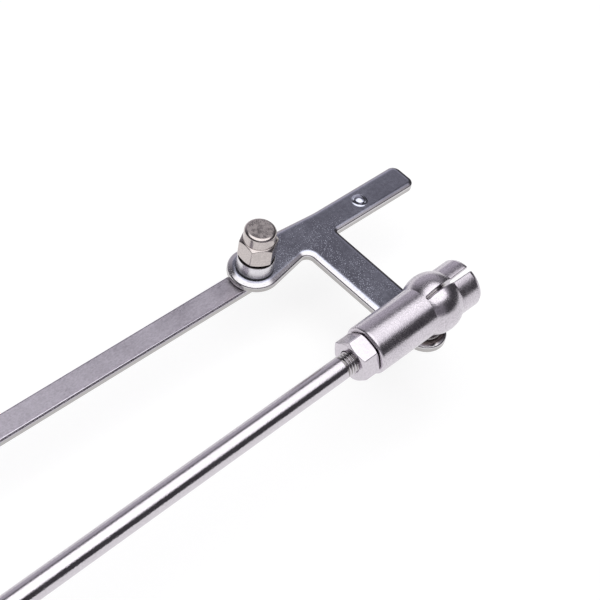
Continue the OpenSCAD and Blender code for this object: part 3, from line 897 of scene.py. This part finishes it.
def cap_nut_skin(nuts, height, hole_d, hole_h):
    """Skin of a cap nut: a chamfered hexagon, a round cap with a rounded rim, and a blind hole from below."""
    angles = hex_angles()
    hex_h = height - nuts.cap_height
    cap_r, rim, hole = nuts.cap_d / 2, nuts.cap_rim, hole_d / 2 + PRESS_FIT
    side = nut_side(nuts.face_share, nuts.cap_chamfer, nuts.cap_across, hex_h, angles)
    t = quarter_turn()[:, None, None]
    middle = as_profile([(cap_r - rim, height - rim)], angles)
    reach = as_profile([(rim, 0.0)], angles), as_profile([(0.0, rim)], angles)
    rounded_rim = middle + np.cos(t) * reach[0] + np.sin(t) * reach[1]
    lower = as_profile([(0.0, hole_h), (hole, hole_h), (hole, 0.0), *side, (cap_r, hex_h), (cap_r, height - rim)],
                       angles)
    upper = as_profile([(cap_r - rim - LIP, height), (0.0, height)], angles)
    return turned_skin(np.concatenate([eased(lower, nuts.nut_edge)[:-1], rounded_rim, upper]), angles=angles)


def spacer_skin(nuts, radius, height):
    """Skin of a round spacer with a chamfered upper edge and a narrow step on top."""
    hole, step_r, edge = nuts.pivot_d / 2 + PRESS_FIT, nuts.spacer_step_d / 2, nuts.spacer_edge
    shoulder = height - nuts.spacer_step_h
    loop = [(hole, 0.0), (radius, 0.0), (radius, shoulder - edge), (radius - edge, shoulder), (step_r, shoulder),
            (step_r, height), (hole, height)]
    return turned_skin(eased(loop, 0.07 * MM, closed=True), True)


class STAY_OT_pivot_nuts(bpy.types.Operator):
    """Builds the round spacer and the cap nut on each pivot"""

    bl_idname = "stay.pivot_nuts"
    bl_label = "Spacers and cap nuts"

    def execute(self, context):
        nuts, finish = context.scene.stay_nuts, context.scene.stay_finish
        ends = (("lever", LEVER, "bar", "lever_stud", nuts.lever_cap_turn), ("post", BAR, "frame", "bar_post", 0.0))
        for end, axes, body, stud, cap_turn in ends:
            low, high = own_box(end + "_spacer", axes)
            skin = spacer_skin(nuts, high[0], high[2] - low[2])
            satin = satin_spacer("satin_spacer_" + end, finish, axes, high[2] - nuts.spacer_step_h)
            make_piece(end + "_spacer", skin, axes @ shift(z=low[2]), body, satin)
            low, high = own_box(end + "_cap_nut", axes)
            skin = cap_nut_skin(nuts, high[2] - low[2], nuts.pivot_d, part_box(stud)[1].z - low[2] + MM)
            seat = axes @ shift(z=low[2]) @ spin("Z", cap_turn)
            bright = cap_steel("bright_cap_" + end, finish, axes, high[2])
            make_piece(end + "_cap_nut", skin, seat, body, bright)
        return {"FINISHED"}


class STAY_OT_lock_nuts(bpy.types.Operator):
    """Builds the lock nut at each end of the tie rod"""

    bl_idname = "stay.lock_nuts"
    bl_label = "Lock nuts"

    def execute(self, context):
        nuts, rod = context.scene.stay_nuts, context.scene.stay_rod
        for (end, axes), turn in zip(ROD_ENDS, (nuts.lever_lock_turn, nuts.frame_lock_turn)):
            low, high = own_box(end + "_lock_nut", axes)
            skin = lock_nut_skin(nuts, high[0] - low[0], rod.rod_d)
            seat = axes @ shift(x=high[0]) @ spin("X", -turn) @ spin("Y", -np.pi / 2)
            finish = lock_nut_steel("bright_lock_" + end, context.scene.stay_finish, axes, high[0])
            make_piece(end + "_lock_nut", skin, seat, "rod", finish)
        return {"FINISHED"}


class STAY_OT_pivot_studs(bpy.types.Operator):
    """Builds the stud that is riveted into the bar and the post that is riveted into the bracket"""

    bl_idname = "stay.pivot_studs"
    bl_label = "Pivot studs"

    def execute(self, context):
        nuts, plates = context.scene.stay_nuts, context.scene.stay_plates
        finish = turned_steel("turned_socket", context.scene.stay_finish)
        stud_r, ease = nuts.pivot_d / 2, 0.25 * MM
        low, high = own_box("lever_stud", LEVER)
        profile = eased([(0.0, low[2]), (stud_r, low[2]), (stud_r, high[2]), (0.0, high[2])], ease)
        make_piece("lever_stud", turned_skin(profile), LEVER, "bar", finish)
        low, high = own_box("bar_post", BAR)
        post_r, tail_r = high[0], plates.rivet_d / 2
        plate_top, post_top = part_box("frame_bracket")[1].z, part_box("post_washer")[0].z
        profile = eased([(0.0, low[2]), (tail_r, low[2]), (tail_r, plate_top), (post_r, plate_top), (post_r, post_top),
                         (stud_r, post_top), (stud_r, high[2]), (0.0, high[2])], ease)
        make_piece("bar_post", turned_skin(profile), BAR, "frame", finish)
        return {"FINISHED"}


class STAY_OT_ball_studs(bpy.types.Operator):
    """Builds the two ball studs, each with a riveted tail, a collar, a neck and a ball"""

    bl_idname = "stay.ball_studs"
    bl_label = "Ball studs"

    def profile(self, nuts, tail_r, plate, ball_z):
        """Profile from the tail up to the ball's top, with the ball's centre at ball_z. Plate is (low, high)."""
        neck_r, collar_r = nuts.neck_d / 2, nuts.collar_d / 2
        low, top = plate
        start = math.asin(neck_r / BALL_RADIUS)
        sweep = np.linspace(start, np.pi, 40)
        ball = np.stack([BALL_RADIUS * np.sin(sweep), ball_z - BALL_RADIUS * np.cos(sweep)], -1)
        stem = eased([(0.0, low), (tail_r, low), (tail_r, top), (collar_r, top), (collar_r, top + nuts.collar_h),
                      (neck_r, top + nuts.collar_h), ball[0]], 0.22 * MM)
        return np.concatenate([stem, ball[1:]])

    def execute(self, context):
        nuts, plates = context.scene.stay_nuts, context.scene.stay_plates
        finish = ball_steel("bright_ball", context.scene.stay_finish)
        bracket_low, bracket_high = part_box("frame_bracket")
        ends = (("lever", LEVER_BALL, (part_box("lever_plate")[0].z, lever_top(plates))),
                ("frame", FRAME_BALL, (bracket_low.z, bracket_high.z)))
        for end, ball, carrier in ends:
            axes = BAR.copy()
            axes[:3, 3] = ball * LEVEL
            profile = self.profile(nuts, plates.rivet_d / 2, carrier, ball[2])
            make_piece(end + "_ball_stud", turned_skin(profile), axes, end, finish)
        return {"FINISHED"}


class STAY_OT_tie_rod(bpy.types.Operator):
    """Builds the bright tie rod with a rolled thread on each end"""

    bl_idname = "stay.tie_rod"
    bl_label = "Tie rod"

    def radius(self, sizes, x, angles, tip, shoulder):
        """Radius of one end at distances x from the ball: a thread up to the shoulder, then the plain rod.

        The thread is a triangle wave of x over the pitch less the angle over a full turn, flattened at crest and
        root. A 45 degree chamfer limits it at the tip, and the rod rises from the thread's root at the shoulder.
        """
        steep, sunk, crest_share, tip_chamfer, rise_slope = 1.25, 0.1, 0.94, 0.4 * MM, 1.2
        rod_r = sizes.rod_d / 2
        root = rod_r - sizes.thread_depth
        wave = (x / sizes.thread_pitch - angles / (2 * np.pi)) % 1.0
        ridge = np.clip(steep * (1 - np.abs(2 * wave - 1)) - sunk, 0.0, 1.0)
        thread = np.minimum(root + crest_share * sizes.thread_depth * ridge, root - tip_chamfer + (x - tip))
        rise = np.clip(root + rise_slope * (x - shoulder), root, rod_r)
        return np.where(x > shoulder, rise, thread)

    def execute(self, context):
        sizes = context.scene.stay_rod
        tip = -own_box("tie_rod", LEVER_END)[1][0]
        nut_end = -own_box("lever_lock_nut", LEVER_END)[0][0]
        shoulder = nut_end + sizes.thread_shows
        angles = full_turn(ROD_ROUND)
        rows_per_pitch = 10
        rows = int((shoulder - tip) / sizes.thread_pitch * rows_per_pitch)
        run_out = shoulder + np.array([0.02, 0.1, 0.2, 0.3, 0.4, 0.45, 0.5, 0.7, 1.5]) * MM
        near = np.concatenate([np.linspace(tip, shoulder, rows), run_out])[:, None]
        middle = np.linspace(near[-1, 0], BALL_TO_BALL / 2, 8)[1:, None]
        half = np.concatenate([near, middle])
        reach = self.radius(sizes, half, angles, tip, shoulder)
        # The far half is the near one turned end for end about the rod's middle
        x = np.concatenate([half[:1], half, (BALL_TO_BALL - half)[-2::-1], (BALL_TO_BALL - half)[:1]])
        back = self.radius(sizes, half, -angles, tip, shoulder)[-2::-1]
        nothing = np.zeros((1, len(angles)))
        radius = np.concatenate([nothing, reach, back, nothing])
        points = np.stack(np.broadcast_arrays(-x, radius * np.cos(angles), radius * np.sin(angles)), -1)
        skin = Skin()
        skin.add(points, quads(*points.shape[:2], close_columns=True))
        finish = bright_rod("bright_rod", context.scene.stay_finish, sizes.rod_d / 2)
        make_piece("tie_rod", skin, LEVER_END, "rod", finish)
        return {"FINISHED"}


class STAY_OT_sockets(bpy.types.Operator):
    """Builds the turned sockets: a body, a bulge round the ball, and a split end with a saw cut and a neck slot"""

    bl_idname = "stay.sockets"
    bl_label = "Sockets"

    def skin(self, sizes, slot_r, rear, end):
        """Two mirrored half shells. A row of each shell is an arc at one place of the closed profile (x, radius); it
        runs from the saw cut on top to the neck slot below, or to the middle where there is no cut, and flat walls
        join the outer and the inner profile along the cuts. The split end is bevelled outside."""
        body_r, bulge_r, bore_r = sizes.socket_d / 2, sizes.bulge_d / 2, sizes.split_bore_d / 2
        cavity_r, rod_r, ease = BALL_RADIUS + sizes.cavity_gap, sizes.rod_d / 2 + PRESS_FIT, sizes.socket_edge
        root, past = sizes.saw_root / 2, -sizes.saw_past
        crease = math.sqrt(bulge_r ** 2 - body_r ** 2)
        rim = end - 2 * ease
        quarter = quarter_turn(8)
        step = 0.06 * MM
        shared = np.concatenate([
            past + root * (1 - np.cos(quarter)), -slot_r * np.cos(quarter), np.linspace(0.0, crease, 14)[1:-1],
            crease + step * np.array([-1.0, 0.0, 1.0, 3.0]), np.linspace(crease + 6 * step, rim, 4)])
        inside = np.abs(shared) < crease
        outer_r = np.where(inside, np.sqrt(np.maximum(bulge_r ** 2 - shared ** 2, 0.0)), body_r)
        hollow = np.sqrt(np.maximum(cavity_r ** 2 - shared ** 2, 0.0))
        inner_r = np.where(shared > 0, np.maximum(hollow, bore_r), hollow)
        rear_rows = eased([(rear, rod_r), (rear, body_r), (-crease - 4 * step, body_r)], sizes.socket_rear, 6)
        crease_rows = np.array([(-crease - step, body_r), (-crease, body_r)])
        rim_rows = eased([(rim, body_r), (end - sizes.bevel_run, body_r), (end, body_r - sizes.bevel_fall),
                          (end, bore_r), (rim, bore_r)], ease)[1:-1]
        cavity_rear = -math.sqrt(cavity_r ** 2 - rod_r ** 2)
        deep = np.linspace(past, cavity_rear, 5)[1:]
        deep_rows = np.stack([deep, np.sqrt(cavity_r ** 2 - deep ** 2)], -1)
        outer = np.stack([shared, outer_r], -1)
        inner = np.stack([shared, inner_r], -1)[::-1]
        profile = np.concatenate([rear_rows, crease_rows, outer, rim_rows, inner, deep_rows])
        x, radius = profile[:, :1], profile[:, 1:]

        past_round = np.clip(x - past, 0.0, root)
        widening = (sizes.saw_end / 2 - root) * np.clip((x - past - root) / (end - past - root), 0.0, 1.0)
        saw = np.sqrt(np.maximum(root ** 2 - (root - past_round) ** 2, 0.0)) + widening
        slot = np.sqrt(np.maximum(slot_r ** 2 - np.minimum(x, 0.0) ** 2, 0.0))
        top = np.pi / 2 - np.arcsin(np.clip(saw / radius, 0.0, 1.0))
        bottom = -np.pi / 2 + np.arcsin(np.clip(slot / radius, 0.0, 1.0))
        columns = 49

        first_outer = len(rear_rows) + len(crease_rows)
        first_rim = first_outer + len(shared)
        last_inner = first_rim + len(rim_rows) + len(shared) - 1
        outer_row = first_outer + np.arange(len(shared))
        inner_row = last_inner - np.arange(len(shared))
        rim_loop = np.concatenate([outer_row[-1:], np.arange(first_rim, first_rim + len(rim_rows)), inner_row[-1:]])
        skin = Skin()
        for side in (-1.0, 1.0):
            start_at = top + side * sizes.saw_turn
            sweep = start_at + (bottom - start_at) * np.linspace(0.0, 1.0, columns)
            points = np.stack(np.broadcast_arrays(x, side * radius * np.cos(sweep), radius * np.sin(sweep)), -1)
            first = skin.add(points, quads(*points.shape[:2], close_rows=True))
            for column, start in ((0, 0), (columns - 1, len(quarter))):
                out, back = outer_row[start:] * columns + column, inner_row[start:] * columns + column
                skin.join(first, np.stack([out[:-1], out[1:], back[1:], back[:-1]], -1), False)
                skin.join(first, (rim_loop * columns + column)[None], False)
        return skin

    def execute(self, context):
        sizes, nuts = context.scene.stay_rod, context.scene.stay_nuts
        finish = turned_steel("turned_socket", context.scene.stay_finish)
        for end, axes in ROD_ENDS:
            low, high = own_box(end + "_socket", axes)
            skin = self.skin(sizes, nuts.neck_d / 2 + sizes.neck_room, low[0], high[0])
            make_piece(end + "_socket", skin, axes, "rod", finish)
        return {"FINISHED"}


class STAY_OT_plastic_parts(bpy.types.Operator):
    """Builds the thin nylon washers under the pivots and the acetal seats behind the balls"""

    bl_idname = "stay.plastic_parts"
    bl_label = "Washers and seats"

    def execute(self, context):
        sizes, nuts, finish = context.scene.stay_rod, context.scene.stay_nuts, context.scene.stay_finish
        nylon = plastic("moulded_nylon", finish.nylon_colour, finish.nylon_rough)
        acetal = plastic("moulded_acetal", finish.acetal_colour, finish.acetal_rough)
        hole, seat_r, ball_gap = nuts.pivot_d / 2 + RUNNING_FIT, sizes.rod_d / 2, 0.1 * MM
        hollow_r = BALL_RADIUS + ball_gap
        washers = [(end + kind, axes, body) for kind in ("_washer", "_top_washer")
                   for end, axes, body in (("lever", LEVER, "bar"), ("post", BAR, "frame"))]
        for node, axes, body in washers:
            low, high = own_box(node, axes)
            loop = [(hole, low[2]), (high[0], low[2]), (high[0], high[2]), (hole, high[2])]
            make_piece(node, turned_skin(eased(loop, 0.05 * MM, closed=True), True), axes, body, nylon)
        for end, axes in ROD_ENDS:
            low, high = own_box(end + "_ball_seat", axes)
            rim = -math.sqrt(hollow_r ** 2 - seat_r ** 2)
            sweep = np.linspace(math.asin(seat_r / hollow_r), 0.0, 14)
            hollow = np.stack([hollow_r * np.sin(sweep), hollow_r * np.cos(sweep)], -1)
            back = eased([(0.0, -low[0]), (seat_r, -low[0]), (seat_r, -rim)], 0.2 * MM)
            profile = np.concatenate([back, hollow[1:]])
            seat = axes @ spin("Y", -np.pi / 2)
            make_piece(end + "_ball_seat", turned_skin(profile), seat, "rod", acetal)
        return {"FINISHED"}


# Stage

class STAY_OT_stage(bpy.types.Operator):
    """Builds the pale floor, the studio light and the camera at the photograph's view"""

    bl_idname = "stay.stage"
    bl_label = "Stage"

    def camera(self, context, studio):
        """Camera that sees the top of the lever's pivot at its pixel, at its distance along the view."""
        back = np.array([math.sin(studio.azimuth) * math.cos(studio.elevation),
                         -math.cos(studio.azimuth) * math.cos(studio.elevation), math.sin(studio.elevation)])
        right = np.array([math.cos(studio.azimuth), math.sin(studio.azimuth), 0.0])
        up = np.cross(back, right)
        across = math.cos(studio.roll) * right - math.sin(studio.roll) * up
        over = math.sin(studio.roll) * right + math.cos(studio.roll) * up
        data = bpy.data.cameras.new("camera")
        data.lens = studio.lens
        data.sensor_width = 36.0
        data.clip_start, data.clip_end = 0.01, 20.0
        picture = 600.0
        metres_per_pixel = studio.distance * data.sensor_width / studio.lens / picture
        pivot = LEVER_PIVOT + np.array([0.0, 0.0, lever_top(context.scene.stay_plates)])
        centre = (pivot - (studio.pivot_u - picture / 2) * metres_per_pixel * across
                  + (studio.pivot_v - picture / 2) * metres_per_pixel * over + studio.distance * back)
        matrix = np.eye(4)
        matrix[:3] = np.stack([across, over, back, centre], 1)
        camera = bpy.data.objects.new("camera", data)
        camera.matrix_world = Matrix(matrix.tolist())
        context.scene.collection.objects.link(camera)
        context.scene.camera = camera

    def floor(self, context, studio):
        """Level floor under the bracket that looks white, with a faint shadow."""
        reach, gap = 4.0, 0.05 * MM
        mesh = bpy.data.meshes.new("floor")
        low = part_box("frame_bracket")[0].z - gap
        mesh.from_pydata([(-reach, -reach, low), (reach, -reach, low), (reach, reach, low), (-reach, reach, low)], [],
                         [(0, 1, 2, 3)])
        material = bpy.data.materials.new("floor")
        material.use_nodes = True
        material.node_tree.nodes.clear()
        g = Graph(material.node_tree)
        path = g.add("LightPath").outputs
        seen = g.math("MAXIMUM", g.math("MAXIMUM", path["Is Camera Ray"], path["Is Glossy Ray"]),
                      path["Is Transmission Ray"])
        glow = g.add("Emission", {"Color": (1.0, 1.0, 1.0, 1.0),
                                  "Strength": g.math("MULTIPLY", seen, studio.floor_glow)})
        matte = g.add("BsdfDiffuse", {"Color": (*studio.floor_colour, 1.0)})
        both = g.add("AddShader", {0: glow.outputs[0], 1: matte.outputs[0]})
        g.add("OutputMaterial", {"Surface": both.outputs[0]})
        mesh.materials.append(material)
        floor = bpy.data.objects.new("floor", mesh)
        context.scene.collection.objects.link(floor)

    def panel(self, g, brightness, *fades):
        """Brightness times its fades, each (value, place where it is 0, place where it is 1)."""
        for fade in fades:
            brightness = g.math("MULTIPLY", brightness, g.ramp(*fade))
        return brightness

    def light(self, context, studio):
        """Studio as a dome: a softbox overhead with a dimmer flank beyond the bar's end, a grey wall on the bar's
        side, a dim panel in front, and a dark room.

        Along, across and height are a direction's parts in axes along the bar. Its place on the softbox is the first
        two over the third, and the softbox is a square with round corners there: the fourth root of the sum of fourth
        powers. The camera sees white, and so does metal that looks past the floor's end.
        """
        world = bpy.data.worlds.new("studio")
        world.use_nodes = True
        world.node_tree.nodes.clear()
        g = Graph(world.node_tree)
        direction = g.add("TexCoord").outputs["Generated"]
        turned_back = g.add("VectorRotate", {"Vector": direction, "Angle": -BAR_TURN}, rotation_type="Z_AXIS")
        along, across, height = g.split(turned_back.outputs[0])
        lowest, box_shift, box_edge = 0.02, (0.115, 0.10), (0.85, 0.62)
        above = g.math("MAXIMUM", height, lowest)
        box_x, box_y = g.math("DIVIDE", along, above), g.math("DIVIDE", across, above)
        offsets = [g.math("ADD", part, moved) for part, moved in zip((box_x, box_y), box_shift)]
        squares = [g.math("MULTIPLY", offset, offset) for offset in offsets]
        fourths = [g.math("MULTIPLY", square, square) for square in squares]
        box = g.ramp(g.math("POWER", g.math("ADD", *fourths), 0.25), *box_edge)
        wall = self.panel(g, g.ramp(height, 0.80, 0.45, 0.0, studio.side_wall, smooth=False),
                          (along, -0.50, 0.25), (along, 0.88, 0.66), (across, 0.15, 0.40))
        front = self.panel(g, studio.front_panel, (across, -0.45, -0.65), (along, 0.08, -0.06))
        flank = self.panel(g, studio.flank, (box_x, 1.35, 0.55), (box_x, 0.20, 0.50), (box_y, 0.40, 0.0),
                           (box_y, -0.95, -0.60))
        lit = g.math("ADD", g.math("ADD", wall, front), g.math("ADD", flank, studio.dark_room))
        dome = g.add("Mix", {0: box, 2: lit, 3: studio.softbox}).outputs[0]
        path = g.add("LightPath").outputs
        past_floor = g.math("MULTIPLY", path["Is Glossy Ray"], g.math("LESS_THAN", height, 0.0))
        plain = g.math("MAXIMUM", g.math("MAXIMUM", path["Is Camera Ray"], path["Is Transmission Ray"]), past_floor)
        shown = g.add("Mix", {0: plain, 2: dome, 3: 1.0}).outputs[0]
        white = g.math("MAXIMUM", box, plain)
        tone = g.add("Mix", {0: white, 6: (*studio.room_colour, 1.0), 7: (1.0, 1.0, 1.0, 1.0)}, data_type="RGBA")
        sky = g.add("Background", {"Color": tone.outputs[2], "Strength": shown})
        g.add("OutputWorld", {"Surface": sky.outputs[0]})
        context.scene.world = world

    def execute(self, context):
        studio = context.scene.stay_studio
        self.camera(context, studio)
        self.floor(context, studio)
        self.light(context, studio)
        context.scene.view_settings.view_transform = "Standard"
        return {"FINISHED"}


OPERATORS = (STAY_OT_stage, STAY_OT_flat_bar, STAY_OT_lever_plate, STAY_OT_frame_bracket, STAY_OT_pivot_studs,
             STAY_OT_pivot_nuts, STAY_OT_ball_studs, STAY_OT_sockets, STAY_OT_lock_nuts, STAY_OT_tie_rod,
             STAY_OT_plastic_parts)
GROUPS = {"stay_plates": StayPlates, "stay_nuts": StayNuts, "stay_rod": StayRod, "stay_finish": StayFinish,
          "stay_studio": StayStudio}


class STAY_PT_pieces(bpy.types.Panel):
    """Lists the pieces and their settings"""

    bl_idname = "STAY_PT_pieces"
    bl_label = "Window stay"
    bl_space_type = "VIEW_3D"
    bl_region_type = "UI"
    bl_category = "Stay"

    def draw(self, context):
        for operator in OPERATORS:
            self.layout.operator(operator.bl_idname)
        for name, group in GROUPS.items():
            box = self.layout.box()
            for setting in group.__annotations__:
                box.prop(getattr(context.scene, name), setting)


def register():
    """Registers the settings, the operators and the panel."""
    for group in (*GROUPS.values(), *OPERATORS, STAY_PT_pieces):
        bpy.utils.register_class(group)
    for name, group in GROUPS.items():
        setattr(bpy.types.Scene, name, bpy.props.PointerProperty(type=group))


def unregister():
    """Removes what register added."""
    for name in GROUPS:
        delattr(bpy.types.Scene, name)
    for group in reversed((*GROUPS.values(), *OPERATORS, STAY_PT_pieces)):
        bpy.utils.unregister_class(group)


def main():
    """Builds the stage and every piece."""
    register()
    for operator in OPERATORS:
        family, name = operator.bl_idname.split(".")
        getattr(getattr(bpy.ops, family), name)()


if __name__ == "__main__":
    main()
